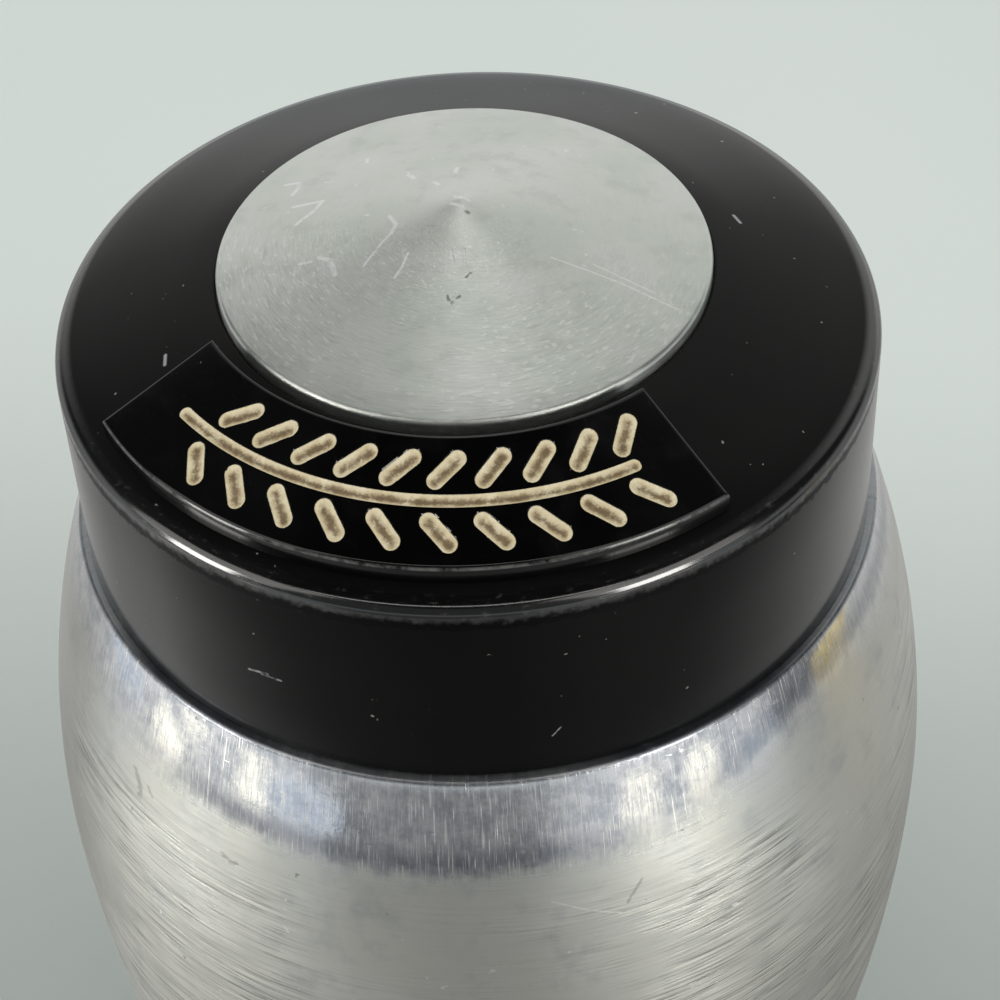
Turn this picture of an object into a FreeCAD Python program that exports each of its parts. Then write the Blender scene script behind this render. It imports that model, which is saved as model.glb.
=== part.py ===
"""Spun aluminium spice jar with a black screw cap.

The cap carries a conical aluminium disc and a raised label plate with a painted sprig.
The origin is the middle of the base, +Z is up, and the label plate faces -Y.
All lengths are millimetres and all angles are degrees.
"""
import FreeCAD
import Part
import math
import os
import Sketcher

SIZES = {
    # Jar shell: a barrel made of two arcs that meet at the belly
    "jar_wall": 1.0,
    "belly_radius": 33.3,
    "belly_height": 46.0,
    "shoulder_arc": 83.0,
    "flank_arc": 157.0,
    "shoulder_height": 75.1,
    "shoulder_round": 0.8,
    "heel_round": 4.0,
    "foot_width": 6.2,
    "foot_recess_run": 1.2,
    "foot_recess": 0.8,
    "neck_height": 10.9,
    "neck_root_round": 0.6,
    # Thread: a ridge on the neck and a like ridge in the cap
    "thread_pitch": 5.0,
    "thread_turns": 1.1,
    "thread_start": 3.6,
    "ridge_depth": 1.1,
    "ridge_root_width": 1.7,
    "ridge_crest_width": 0.8,
    "ridge_embed": 0.3,
    "thread_clearance": 0.4,
    "flank_clearance": 0.1,
    # Sifter insert in the neck
    "sifter_sheet": 0.6,
    "sifter_depth": 6.4,
    "sifter_fit": 0.1,
    "sifter_flange_inset": 0.3,
    "sifter_hole_radius": 3.1,
    # Screw cap, whose skirt stands a little inside the shoulder's edge
    "skirt_inset": 0.53,
    "skirt_draft": 0.3,
    "skirt_height": 14.6,
    "skirt_wall": 2.5,
    "skirt_gap": 0.3,
    "skirt_edge_round": 0.4,
    "ring_width": 11.0,
    "ring_rise": 3.75,
    "rim_round": 0.9,
    # Liner under the cap's roof
    "liner_thickness": 1.0,
    "liner_inset": 0.3,
    # Cap disc: a conical sheet with a turned-down rim
    "disc_sheet": 0.9,
    "disc_rise": 4.4,
    "disc_stand": 0.75,
    "disc_rim_depth": 1.3,
    "disc_edge_round": 0.4,
    "recess_gap": 0.1,
    "glue_film": 0.1,
    # Label plate on the cap's ring
    "plate_disc_margin": 1.4,
    "plate_rim_margin": 1.7,
    "plate_inner_thickness": 1.7,
    "plate_outer_thickness": 1.2,
    "plate_span": 100.0,
    "plate_edge_round": 0.25,
    # Sprig sunk into the plate: a stem with leaves in pairs
    "stem_width": 0.8,
    "stem_margin_angle": 10.0,
    "leaf_width": 1.1,
    "leaf_web": 0.25,
    "leaf_margin": 1.45,
    "leaf_slant": 46.0,
    "groove_depth": 0.5,
    "paint_recess": 0.12,
}

FORMULAS = {
    # Jar shell
    "shoulder_rise": "shoulder_height - belly_height",
    "shoulder_radius": "belly_radius - shoulder_arc + sqrt(shoulder_arc^2 - shoulder_rise^2)",
    "heel_radius": "belly_radius - flank_arc + sqrt(flank_arc^2 - belly_height^2)",
    "inner_belly": "belly_radius - jar_wall",
    "inner_shoulder_arc": "shoulder_arc - jar_wall",
    "inner_flank_arc": "flank_arc - jar_wall",
    "inner_shoulder_height": "shoulder_height - jar_wall",
    "inner_shoulder_rise": "inner_shoulder_height - belly_height",
    "inner_shoulder": "belly_radius - shoulder_arc + sqrt(inner_shoulder_arc^2 - inner_shoulder_rise^2)",
    "inner_heel": "belly_radius - flank_arc + sqrt(inner_flank_arc^2 - (belly_height - jar_wall)^2)",
    "inner_heel_round": "heel_round - jar_wall",
    "foot_radius": "heel_radius - foot_width",
    "foot_recess_radius": "foot_radius - foot_recess_run",
    "floor_height": "foot_recess + jar_wall",
    "skirt_radius": "shoulder_radius - skirt_inset",
    "cap_bore": "skirt_radius - skirt_wall",
    "neck_radius": "cap_bore - thread_clearance - ridge_depth",
    "mouth_radius": "neck_radius - jar_wall",
    "neck_top": "shoulder_height + neck_height",
    # Thread
    "jar_ridge_foot": "neck_radius - ridge_embed",
    "jar_ridge_crest": "neck_radius + ridge_depth",
    "jar_ridge_height": "shoulder_height + thread_start",
    "jar_root_low": "jar_ridge_height - ridge_root_width / 2",
    "jar_root_high": "jar_ridge_height + ridge_root_width / 2",
    "jar_crest_low": "jar_ridge_height - ridge_crest_width / 2",
    "jar_crest_high": "jar_ridge_height + ridge_crest_width / 2",
    "cap_ridge_foot": "cap_bore + ridge_embed",
    "cap_ridge_crest": "cap_bore - ridge_depth",
    "cap_ridge_height": "jar_ridge_height - (ridge_root_width + ridge_crest_width) / 2 - flank_clearance",
    "cap_root_low": "cap_ridge_height - ridge_root_width / 2",
    "cap_root_high": "cap_ridge_height + ridge_root_width / 2",
    "cap_crest_low": "cap_ridge_height - ridge_crest_width / 2",
    "cap_crest_high": "cap_ridge_height + ridge_crest_width / 2",
    # Sifter insert
    "sifter_radius": "mouth_radius - sifter_fit",
    "sifter_bore": "sifter_radius - sifter_sheet",
    "sifter_flange": "neck_radius - sifter_flange_inset",
    "sifter_top": "neck_top + sifter_sheet",
    "sifter_foot": "neck_top - sifter_depth",
    "sifter_floor": "sifter_foot + sifter_sheet",
    "sifter_ring": "(sifter_bore + sifter_hole_radius) / 2",
    # Screw cap, with the liner and the roof stacked on the sifter
    "skirt_bottom": "shoulder_height + skirt_gap",
    "rim_height": "skirt_bottom + skirt_height",
    "roof_height": "sifter_top + liner_thickness",
    "liner_radius": "cap_bore - liner_inset",
    "skirt_top_radius": "skirt_radius - skirt_draft",
    "ring_inner_radius": "skirt_top_radius - ring_width",
    "ring_top": "rim_height + ring_rise",
    "ring_slope": "ring_rise / ring_width",
    # Cap disc and its seat
    "disc_radius": "ring_inner_radius - recess_gap",
    "disc_edge_height": "ring_top + disc_stand",
    "disc_apex": "disc_edge_height + disc_rise",
    "disc_slope": "disc_rise / disc_radius",
    "disc_drop": "disc_sheet * sqrt(1 + disc_slope^2)",
    "disc_foot": "disc_edge_height - disc_rim_depth",
    "disc_bore": "disc_radius - disc_sheet",
    "disc_under_apex": "disc_apex - disc_drop",
    "disc_under_edge": "disc_under_apex - disc_slope * disc_bore",
    "seat_radius": "disc_bore - recess_gap",
    "seat_apex": "disc_under_apex - glue_film",
    "seat_edge": "seat_apex - disc_slope * seat_radius",
    # Label plate
    "plate_inner_radius": "ring_inner_radius + plate_disc_margin",
    "plate_outer_radius": "skirt_top_radius - plate_rim_margin",
    "plate_half_width": "(plate_outer_radius - plate_inner_radius) / 2",
    "plate_seat_inner": "ring_top - ring_slope * plate_disc_margin + glue_film",
    "plate_seat_outer": "rim_height + ring_slope * plate_rim_margin + glue_film",
    "plate_face_inner": "plate_seat_inner + plate_inner_thickness",
    "plate_face_outer": "plate_seat_outer + plate_outer_thickness",
    "plate_height": "plate_face_inner - plate_seat_outer",
    "groove_floor_inner": "plate_face_inner - groove_depth",
    "groove_floor_outer": "plate_face_outer - groove_depth",
    "groove_top_inner": "plate_face_inner + groove_depth",
    "groove_top_outer": "plate_face_outer + groove_depth",
    "paint_face_inner": "plate_face_inner - paint_recess",
    "paint_face_outer": "plate_face_outer - paint_recess",
    # Sprig
    "stem_radius": "plate_inner_radius + plate_half_width",
    "stem_span": "plate_span - 2 * stem_margin_angle",
    "stem_half_width": "stem_width / 2",
    "stem_inner_radius": "stem_radius - stem_half_width",
    "stem_outer_radius": "stem_radius + stem_half_width",
    "leaf_half_width": "leaf_width / 2",
    "leaf_start": "(stem_half_width + leaf_half_width + leaf_web) / sin(leaf_slant)",
    "leaf_end": "(plate_half_width - leaf_margin) / sin(leaf_slant)",
    "leaf_bar": "leaf_end - leaf_start",
}

SIFTER_RING_HOLES = 6
LEAF_PAIRS = 10
# Share of the belly's radius by which a found edge may differ from the wanted one
MATCH_SHARE = 1e-6

doc = FreeCAD.newDocument("spice_jar")
sheet = doc.addObject("Spreadsheet::Sheet", "sizes")


def fill_sheet():
    """Write the driving sizes as numbers and the sizes that follow from them as formulas."""
    cells = {alias: str(value) for alias, value in SIZES.items()}
    cells.update({alias: "=" + formula for alias, formula in FORMULAS.items()})
    for row, (alias, content) in enumerate(cells.items(), start=1):
        sheet.set(f"A{row}", alias)
        sheet.setAlias(f"B{row}", alias)
        sheet.set(f"B{row}", content)
    doc.recompute()


def size(alias):
    """The value of a cell of the sheet."""
    return float(sheet.get(alias))


def bind(thing, target, alias):
    """Tie a property or constraint to a cell of the sheet."""
    thing.setExpression(target, f"sizes.{alias}")


def new_body(label):
    body = doc.addObject("PartDesign::Body", label)
    body.Label = label
    return body


def origin_plane(body, role):
    return next(feature for feature in body.Origin.OriginFeatures if feature.Role == role)


def new_sketch(body, name, role):
    sketch = body.newObject("Sketcher::SketchObject", name)
    sketch.AttachmentSupport = [(origin_plane(body, role), "")]
    sketch.MapMode = "FlatFace"
    return sketch


def coordinate(alias):
    """Number for the start of a sketch: a cell's value, its negative, or zero."""
    if alias == "0":
        return 0.0
    return -size(alias[1:]) if alias.startswith("-") else size(alias)


def pin_corner(sketch, edge, end, alias, kind):
    """Hold one coordinate of a corner at a cell's value, or on the sketch's axis."""
    if alias == "0":
        axis = -2 if kind == "DistanceX" else -1
        sketch.addConstraint(Sketcher.Constraint("PointOnObject", edge, end, axis))
        return
    value = coordinate(alias)
    index = sketch.addConstraint(Sketcher.Constraint(kind, -1, 1, edge, end, value))
    sign = "-" if alias.startswith("-") else ""
    sketch.setExpression(f"Constraints[{index}]", f"{sign}sizes.{alias.lstrip('-')}")


def outward_arc(start, end, radius):
    """Arc between two corners, rising from the lower to the upper one and bulging to +X."""
    low, high = sorted((start, end), key=lambda corner: corner.y)
    chord = high - low
    rise = math.sqrt(radius ** 2 - (chord.Length / 2) ** 2)
    centre = (low + high) / 2 + FreeCAD.Vector(-chord.y, chord.x, 0) / chord.Length * rise
    angles = [math.atan2(corner.y - centre.y, corner.x - centre.x) for corner in (low, high)]
    circle = Part.Circle(centre, FreeCAD.Vector(0, 0, 1), radius)
    return Part.ArcOfCircle(circle, *angles)


def closed_outline(body, name, role, corners, arcs=None):
    """Sketch a closed outline through corners given as cells.

    arcs maps a corner's place to the cell with the radius of the arc that leaves it.
    """
    arcs = arcs or {}
    sketch = new_sketch(body, name, role)
    points = [FreeCAD.Vector(coordinate(x), coordinate(y), 0) for x, y in corners]
    ends = []
    for place, start in enumerate(points):
        end = points[(place + 1) % len(points)]
        if place in arcs:
            edge = sketch.addGeometry(outward_arc(start, end, size(arcs[place])))
            ends.append((edge, 1, 2) if start.y < end.y else (edge, 2, 1))
        else:
            edge = sketch.addGeometry(Part.LineSegment(start, end))
            ends.append((edge, 1, 2))
    for place, (x, y) in enumerate(corners):
        edge, first, _ = ends[place]
        before, _, last = ends[place - 1]
        sketch.addConstraint(Sketcher.Constraint("Coincident", before, last, edge, first))
        pin_corner(sketch, edge, first, x, "DistanceX")
        pin_corner(sketch, edge, first, y, "DistanceY")
        if place in arcs:
            index = sketch.addConstraint(Sketcher.Constraint("Radius", edge, size(arcs[place])))
            bind(sketch, f"Constraints[{index}]", arcs[place])
    return sketch


def revolve(body, sketch, name):
    feature = body.newObject("PartDesign::Revolution", name)
    feature.Profile = sketch
    feature.ReferenceAxis = (sketch, ["V_Axis"])
    return feature


def ring_edge(feature, radius, height):
    """Name of the circular edge about Z with the given radius cell and height cell."""
    wanted = (coordinate(radius), coordinate(height))
    for index, edge in enumerate(feature.Shape.Edges, start=1):
        if not isinstance(edge.Curve, Part.Circle):
            continue
        found = (edge.Curve.Radius, edge.Curve.Center.z)
        if all(abs(a - b) <= MATCH_SHARE * size("belly_radius") for a, b in zip(found, wanted)):
            return f"Edge{index}"
    raise ValueError(f"no edge at {radius}, {height}")


def fillet(body, base, edges, round_alias, name):
    feature = body.newObject("PartDesign::Fillet", name)
    feature.Base = (base, edges)
    bind(feature, "Radius", round_alias)
    doc.recompute()
    return feature


def round_ring(body, base, radius, height, round_alias, name):
    """Fillet the circular edge at a radius and height."""
    doc.recompute()
    return fillet(body, base, [ring_edge(base, radius, height)], round_alias, name)


def thread_ridge(body, corners, name):
    """Right-hand helical ridge whose section is drawn in the XZ plane."""
    sketch = closed_outline(body, f"{name}_section", "XZ_Plane", corners)
    helix = body.newObject("PartDesign::AdditiveHelix", name)
    helix.Profile = sketch
    helix.ReferenceAxis = (sketch, ["V_Axis"])
    helix.Mode = "pitch-turns-angle"
    bind(helix, "Pitch", "thread_pitch")
    bind(helix, "Turns", "thread_turns")
    doc.recompute()
    return helix


def make_jar_shell():
    """Barrel of one wall thickness with a recessed foot, a ledge at the shoulder and a threaded neck."""
    body = new_body("jar_shell")
    corners = [
        ("0", "foot_recess"),
        ("foot_recess_radius", "foot_recess"),
        ("foot_radius", "0"),
        ("heel_radius", "0"),
        ("belly_radius", "belly_height"),
        ("shoulder_radius", "shoulder_height"),
        ("neck_radius", "shoulder_height"),
        ("neck_radius", "neck_top"),
        ("mouth_radius", "neck_top"),
        ("mouth_radius", "inner_shoulder_height"),
        ("inner_shoulder", "inner_shoulder_height"),
        ("inner_belly", "belly_height"),
        ("inner_heel", "jar_wall"),
        ("foot_radius", "jar_wall"),
        ("foot_recess_radius", "floor_height"),
        ("0", "floor_height"),
    ]
    arcs = {3: "flank_arc", 4: "shoulder_arc", 10: "inner_shoulder_arc", 11: "inner_flank_arc"}
    sketch = closed_outline(body, "jar_outline", "XZ_Plane", corners, arcs)
    shell = revolve(body, sketch, "jar_turned")
    shell = round_ring(body, shell, "heel_radius", "0", "heel_round", "jar_heel")
    shell = round_ring(body, shell, "inner_heel", "jar_wall", "inner_heel_round", "jar_inner_heel")
    shell = round_ring(body, shell, "shoulder_radius", "shoulder_height", "shoulder_round", "jar_shoulder")
    round_ring(body, shell, "neck_radius", "shoulder_height", "neck_root_round", "jar_neck_root")
    ridge = [
        ("jar_ridge_foot", "jar_root_low"),
        ("jar_ridge_crest", "jar_crest_low"),
        ("jar_ridge_crest", "jar_crest_high"),
        ("jar_ridge_foot", "jar_root_high"),
    ]
    thread_ridge(body, ridge, "jar_thread")
    return body


def drill(body, name, distance, count):
    """Round holes up through the body, evenly spaced at a distance from the axis."""
    sketch = new_sketch(body, f"{name}_circle", "XY_Plane")
    centre = FreeCAD.Vector(coordinate(distance), 0, 0)
    radius = size("sifter_hole_radius")
    edge = sketch.addGeometry(Part.Circle(centre, FreeCAD.Vector(0, 0, 1), radius))
    pin_corner(sketch, edge, 3, distance, "DistanceX")
    pin_corner(sketch, edge, 3, "0", "DistanceY")
    index = sketch.addConstraint(Sketcher.Constraint("Radius", edge, radius))
    bind(sketch, f"Constraints[{index}]", "sifter_hole_radius")
    pocket = body.newObject("PartDesign::Pocket", name)
    pocket.Profile = sketch
    pocket.Type = "ThroughAll"
    pocket.Reversed = True
    doc.recompute()
    if count == 1:
        return
    pattern = body.newObject("PartDesign::PolarPattern", f"{name}_ring")
    pattern.Originals = [pocket]
    pattern.Axis = (sketch, ["N_Axis"])
    pattern.Occurrences = count
    body.Tip = pattern
    doc.recompute()


def make_sifter_insert():
    """Shallow perforated cup that hangs in the neck by its flange."""
    body = new_body("sifter_insert")
    corners = [
        ("0", "sifter_foot"),
        ("sifter_radius", "sifter_foot"),
        ("sifter_radius", "neck_top"),
        ("sifter_flange", "neck_top"),
        ("sifter_flange", "sifter_top"),
        ("sifter_bore", "sifter_top"),
        ("sifter_bore", "sifter_floor"),
        ("0", "sifter_floor"),
    ]
    sketch = closed_outline(body, "sifter_outline", "XZ_Plane", corners)
    revolve(body, sketch, "sifter_turned")
    doc.recompute()
    drill(body, "sifter_hole_middle", "0", 1)
    drill(body, "sifter_hole_outer", "sifter_ring", SIFTER_RING_HOLES)
    return body


def make_cap_liner():
    """Flat seal disc between the sifter's flange and the cap's roof."""
    liner = doc.addObject("Part::Cylinder", "cap_liner")
    liner.Label = "cap_liner"
    bind(liner, "Radius", "liner_radius")
    bind(liner, "Height", "liner_thickness")
    bind(liner, "Placement.Base.z", "sifter_top")
    return liner


def make_screw_cap():
    """Cap with a near-straight skirt, a conical ring on top and a seat for the disc in its middle."""
    body = new_body("screw_cap")
    corners = [
        ("0", "roof_height"),
        ("cap_bore", "roof_height"),
        ("cap_bore", "skirt_bottom"),
        ("skirt_radius", "skirt_bottom"),
        ("skirt_top_radius", "rim_height"),
        ("ring_inner_radius", "ring_top"),
        ("ring_inner_radius", "disc_foot"),
        ("seat_radius", "disc_foot"),
        ("seat_radius", "seat_edge"),
        ("0", "seat_apex"),
    ]
    sketch = closed_outline(body, "cap_outline", "XZ_Plane", corners)
    cap = revolve(body, sketch, "cap_turned")
    cap = round_ring(body, cap, "skirt_top_radius", "rim_height", "rim_round", "cap_rim")
    round_ring(body, cap, "skirt_radius", "skirt_bottom", "skirt_edge_round", "cap_skirt_edge")
    ridge = [
        ("cap_ridge_foot", "cap_root_low"),
        ("cap_ridge_foot", "cap_root_high"),
        ("cap_ridge_crest", "cap_crest_high"),
        ("cap_ridge_crest", "cap_crest_low"),
    ]
    thread_ridge(body, ridge, "cap_thread")
    return body


def make_cap_disc():
    """Conical sheet whose turned-down rim stands in the cap's groove."""
    body = new_body("cap_disc")
    corners = [
        ("0", "disc_apex"),
        ("disc_radius", "disc_edge_height"),
        ("disc_radius", "disc_foot"),
        ("disc_bore", "disc_foot"),
        ("disc_bore", "disc_under_edge"),
        ("0", "disc_under_apex"),
    ]
    sketch = closed_outline(body, "disc_outline", "XZ_Plane", corners)
    disc = revolve(body, sketch, "disc_turned")
    round_ring(body, disc, "disc_radius", "disc_edge_height", "disc_edge_round", "disc_edge")
    return body


def ring_sector(label, span, inner, outer, floors, tops):
    """Sector of a ring in front of the disc, between two radii, with a floor and a top height at each."""
    body = new_body(label)
    corners = [
        (f"-{inner}", floors[0]),
        (f"-{inner}", tops[0]),
        (f"-{outer}", tops[1]),
        (f"-{outer}", floors[1]),
    ]
    sketch = closed_outline(body, f"{label}_outline", "YZ_Plane", corners)
    sector = revolve(body, sketch, f"{label}_turned")
    sector.Midplane = True
    bind(sector, "Angle", span)
    doc.recompute()
    return body, sector


def plate_layer(label, floor, top):
    """Layer of the label plate between two surfaces named by the start of their cells."""
    floors = (f"{floor}_inner", f"{floor}_outer")
    tops = (f"{top}_inner", f"{top}_outer")
    return ring_sector(label, "plate_span", "plate_inner_radius", "plate_outer_radius", floors, tops)


def from_axis(distance, azimuth):
    """Point at the plate's lowest height, at a distance from the axis and an azimuth from -Y towards +X."""
    x = distance * math.sin(azimuth)
    y = -distance * math.cos(azimuth)
    return FreeCAD.Vector(x, y, size("plate_seat_outer"))


def round_end(name, radius, place):
    """Upright cylinder as high as the plate."""
    end = doc.addObject("Part::Cylinder", name)
    bind(end, "Radius", radius)
    bind(end, "Height", "plate_height")
    end.Placement.Base = place
    return end


def fuse(name, pieces):
    whole = doc.addObject("Part::MultiFuse", name)
    whole.Shapes = pieces
    return whole


def make_leaf(name, azimuth, side):
    """Upright slot-shaped prism that leaves the stem at an azimuth, slanting to its outer or inner side."""
    slant = math.radians(size("leaf_slant"))
    reach = (size("leaf_start") + size("leaf_end")) / 2
    distance = size("stem_radius") + side * reach * math.sin(slant)
    turn = azimuth + reach * math.cos(slant) / distance
    heading = turn - side * slant
    blade = FreeCAD.Vector(math.cos(heading), math.sin(heading), 0)
    across = FreeCAD.Vector(-blade.y, blade.x, 0)
    half_bar = blade * (size("leaf_bar") / 2)
    middle = from_axis(distance, turn)
    bar = doc.addObject("Part::Box", f"{name}_bar")
    bind(bar, "Length", "leaf_bar")
    bind(bar, "Width", "leaf_width")
    bind(bar, "Height", "plate_height")
    bar.Placement.Base = middle - half_bar - across * size("leaf_half_width")
    bar.Placement.Rotation = FreeCAD.Rotation(FreeCAD.Vector(0, 0, 1), math.degrees(heading))
    start = round_end(f"{name}_start", "leaf_half_width", middle - half_bar)
    tip = round_end(f"{name}_tip", "leaf_half_width", middle + half_bar)
    return fuse(name, [bar, start, tip])


def make_stem():
    """Upright curved prism along the middle of the plate, with round ends."""
    heights = (("plate_seat_outer",) * 2, ("plate_face_inner",) * 2)
    bar, _ = ring_sector("stem_bar", "stem_span", "stem_inner_radius", "stem_outer_radius", *heights)
    half_span = math.radians(size("stem_span")) / 2
    start = round_end("stem_start", "stem_half_width", from_axis(size("stem_radius"), -half_span))
    tip = round_end("stem_tip", "stem_half_width", from_axis(size("stem_radius"), half_span))
    return fuse("stem", [bar, start, tip])


def make_sprig():
    """Stem with leaves in pairs that lean towards its tip, as upright prisms through the plate."""
    pieces = [make_stem()]
    span = math.radians(size("stem_span"))
    for pair in range(LEAF_PAIRS):
        azimuth = span * (pair / LEAF_PAIRS - 1 / 2)
        for side, word in ((1, "outer"), (-1, "inner")):
            pieces.append(make_leaf(f"{word}_leaf_{pair}", azimuth, side))
    sprig = doc.addObject("Part::Compound", "sprig")
    sprig.Links = pieces
    doc.recompute()
    return sprig


def make_label():
    """Label plate with the sprig sunk into its face, and the paint that lies in the groove."""
    blank, sector = plate_layer("plate_blank", "plate_seat", "plate_face")
    face = max(sector.Shape.Faces, key=lambda side: side.CenterOfMass.z)
    rims = [f"Edge{index}" for index, edge in enumerate(sector.Shape.Edges, start=1)
            if any(edge.isSame(other) for other in face.Edges)]
    fillet(blank, sector, rims, "plate_edge_round", "plate_edges")
    groove_layer, _ = plate_layer("groove_layer", "groove_floor", "groove_top")
    paint_layer, _ = plate_layer("paint_layer", "groove_floor", "paint_face")
    sprig = make_sprig()
    groove = doc.addObject("Part::MultiCommon", "groove")
    groove.Shapes = [groove_layer, sprig]
    plate = doc.addObject("Part::Cut", "label_plate")
    plate.Base = blank
    plate.Tool = groove
    inlay = doc.addObject("Part::MultiCommon", "label_inlay")
    inlay.Shapes = [paint_layer, sprig]
    doc.recompute()
    return plate, inlay


def check_document():
    """Stop if any object of the document failed."""
    for thing in doc.Objects:
        if "Invalid" in thing.State or "Error" in thing.State:
            raise RuntimeError(f"{thing.Name} failed: {thing.State}")


def write_parts(parts):
    """Write each sub-part's shape under its label, once every shape is known to be sound."""
    for part in parts:
        if part.Shape.isNull() or not part.Shape.isValid():
            raise RuntimeError(f"{part.Label} has no valid shape")
    os.makedirs("parts", exist_ok=True)
    for part in parts:
        part.Shape.exportStep(f"parts/{part.Label}.step")
        print(f"{part.Label}: {len(part.Shape.Solids)} solids, volume {part.Shape.Volume:.2f}")


fill_sheet()
sub_parts = [
    make_jar_shell(),
    make_sifter_insert(),
    make_cap_liner(),
    make_screw_cap(),
    make_cap_disc(),
    *make_label(),
]
doc.recompute()
check_document()
write_parts(sub_parts)
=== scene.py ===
"""A spun aluminium spice jar with a black screw cap.

The cap carries a turned metal disc and a raised black plate with a painted sprig cut into it.
Lengths are in millimetres until a mesh is made, the axis is Z and the plate faces -Y.
"""

import math

import bpy
import numpy as np
from mathutils import Matrix, Vector


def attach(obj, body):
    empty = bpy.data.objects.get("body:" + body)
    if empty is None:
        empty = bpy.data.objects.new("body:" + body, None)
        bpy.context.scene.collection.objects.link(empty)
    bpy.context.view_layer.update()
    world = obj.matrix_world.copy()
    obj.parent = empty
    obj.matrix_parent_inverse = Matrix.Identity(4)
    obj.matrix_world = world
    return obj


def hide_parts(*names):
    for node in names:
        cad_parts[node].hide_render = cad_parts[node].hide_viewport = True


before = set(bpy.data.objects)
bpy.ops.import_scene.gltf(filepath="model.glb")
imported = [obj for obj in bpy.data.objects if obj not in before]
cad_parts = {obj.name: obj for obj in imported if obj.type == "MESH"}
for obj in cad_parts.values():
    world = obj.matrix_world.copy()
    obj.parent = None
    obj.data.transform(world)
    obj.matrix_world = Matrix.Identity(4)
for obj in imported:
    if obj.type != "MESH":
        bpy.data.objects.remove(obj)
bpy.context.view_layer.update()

MM = 0.001

# The jar: two arcs meet at the belly, and the wall is one millimetre thick.
BELLY_RADIUS, BELLY_HEIGHT = 33.3, 46.0
FLANK_ARC, SHOULDER_ARC = 157.0, 83.0
WALL = 1.0
SHOULDER_HEIGHT, SHOULDER_ROUND = 75.1, 0.35
NECK_RADIUS, MOUTH_HEIGHT, MOUTH_ROUND = 23.5, 86.0, 0.3
HEEL_ROUND, INNER_HEEL_ROUND = 4.0, 3.0
FOOT_RADIUS, RECESS_RADIUS, RECESS_DEPTH = 20.21, 19.01, 0.8

# The cap: a skirt under a rounded rim, and a ring that climbs to the disc's seat.
SKIRT_BOTTOM, SKIRT_RADIUS, CAP_BORE = 75.14, 27.5, 25.0
RIM_RADIUS, RIM_HEIGHT, RIM_ROUND = 27.2, 90.0, 0.9
SEAT_RADIUS, SEAT_HEIGHT, SEAT_EDGE = 16.2, 93.2, 93.75
ROOF_HEIGHT = 87.6

# The disc: a cone of sheet metal with a turned-down rim.
DISC_TOP, DISC_SLOPE, DISC_RADIUS, DISC_EDGE = 98.9, 0.2733, 16.1, 94.5

# The plate on the cap and the sprig that is cut into it.
PLATE_INNER, PLATE_OUTER, PLATE_HALF_TURN = 17.6, 25.5, math.radians(50)
PLATE_TOP_INNER, PLATE_TOP_OUTER = 95.073, 91.880
PLATE_SEAT_INNER, PLATE_SEAT_OUTER = 93.373, 90.680
PLATE_EDGE = 0.25
STEM_RADIUS, STEM_HALF_WIDTH, STEM_HALF_TURN = 21.55, 0.4, math.radians(40)
LEAF_PAIRS, LEAF_SLANT = 10, math.radians(46)
LEAF_REACH, LEAF_HALF_BAR, LEAF_HALF_WIDTH = 2.572, 0.904, 0.55
GROOVE_DEPTH = 0.5
STROKE_END_STEPS = 10
PAINT_REACH = 0.975

# The screw thread: a ridge on the neck and one in the cap.
PITCH, THREAD_TURNS = 5.0, 1.1
RIDGE_ROOT_HALF, RIDGE_CREST_HALF, RIDGE_SUNK = 0.85, 0.4, 0.25
JAR_RIDGE_CREST, JAR_RIDGE_HEIGHT = 24.6, 78.7
CAP_RIDGE_CREST, CAP_RIDGE_HEIGHT = 23.9, 77.35

# The lamps and the panels that only reflections show; azimuth 0 is straight in front.
LAMP_ELEVATION, LAMP_DISTANCE, LAMP_SIDE, LAMP_POWER = 32, 650, 480, 0.85
LAMP_COLOUR = (1.0, 0.98, 0.94)
PANEL_DISTANCE = 600

# The camera at the photograph's view.
LENS, SENSOR_WIDTH = 80.117, 36.0
CAMERA_SPOT = (27.87, -109.4, 185.3)
CAMERA_RIGHT, CAMERA_FORWARD = (0.9793, 0.1996, -0.0343), (-0.1645, 0.6854, -0.7094)


def tone(red, green, blue):
    """A colour as it looks on a screen, 0 to 255, for a shader's socket."""
    linear = []
    for level in (red, green, blue):
        share = level / 255
        linear.append(share / 12.92 if share <= 0.04045 else ((share + 0.055) / 1.055) ** 2.4)
    return (*linear, 1.0)


class Wire:
    """An outgoing socket. Sums written with wires become Math nodes."""

    def __init__(self, finish, socket):
        self.finish = finish
        self.socket = socket

    def outlet(self, name):
        return Wire(self.finish, self.socket.node.outputs[name])

    def math(self, operation, *others):
        return self.finish.math(operation, self, *others)

    def __add__(self, other):
        return self.math("ADD", other)

    def __sub__(self, other):
        return self.math("SUBTRACT", other)

    def __rsub__(self, other):
        return self.finish.math("SUBTRACT", other, self)

    def __mul__(self, other):
        return self.math("MULTIPLY", other)

    def __truediv__(self, other):
        return self.math("DIVIDE", other)

    def __rtruediv__(self, other):
        return self.finish.math("DIVIDE", other, self)

    def __pow__(self, other):
        return self.math("POWER", other)

    def __neg__(self):
        return self.math("MULTIPLY", -1.0)

    def __abs__(self):
        return self.math("ABSOLUTE")

    __radd__ = __add__
    __rmul__ = __mul__

    def least(self, other):
        return self.math("MINIMUM", other)

    def most(self, other):
        return self.math("MAXIMUM", other)

    def rise(self, low, high):
        """0 at low and 1 at high, eased between them. Low may be the larger number."""
        return self.finish.add(
            "ShaderNodeMapRange",
            {"interpolation_type": "SMOOTHSTEP"},
            {"Value": self, "From Min": low, "From Max": high},
        )


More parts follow.
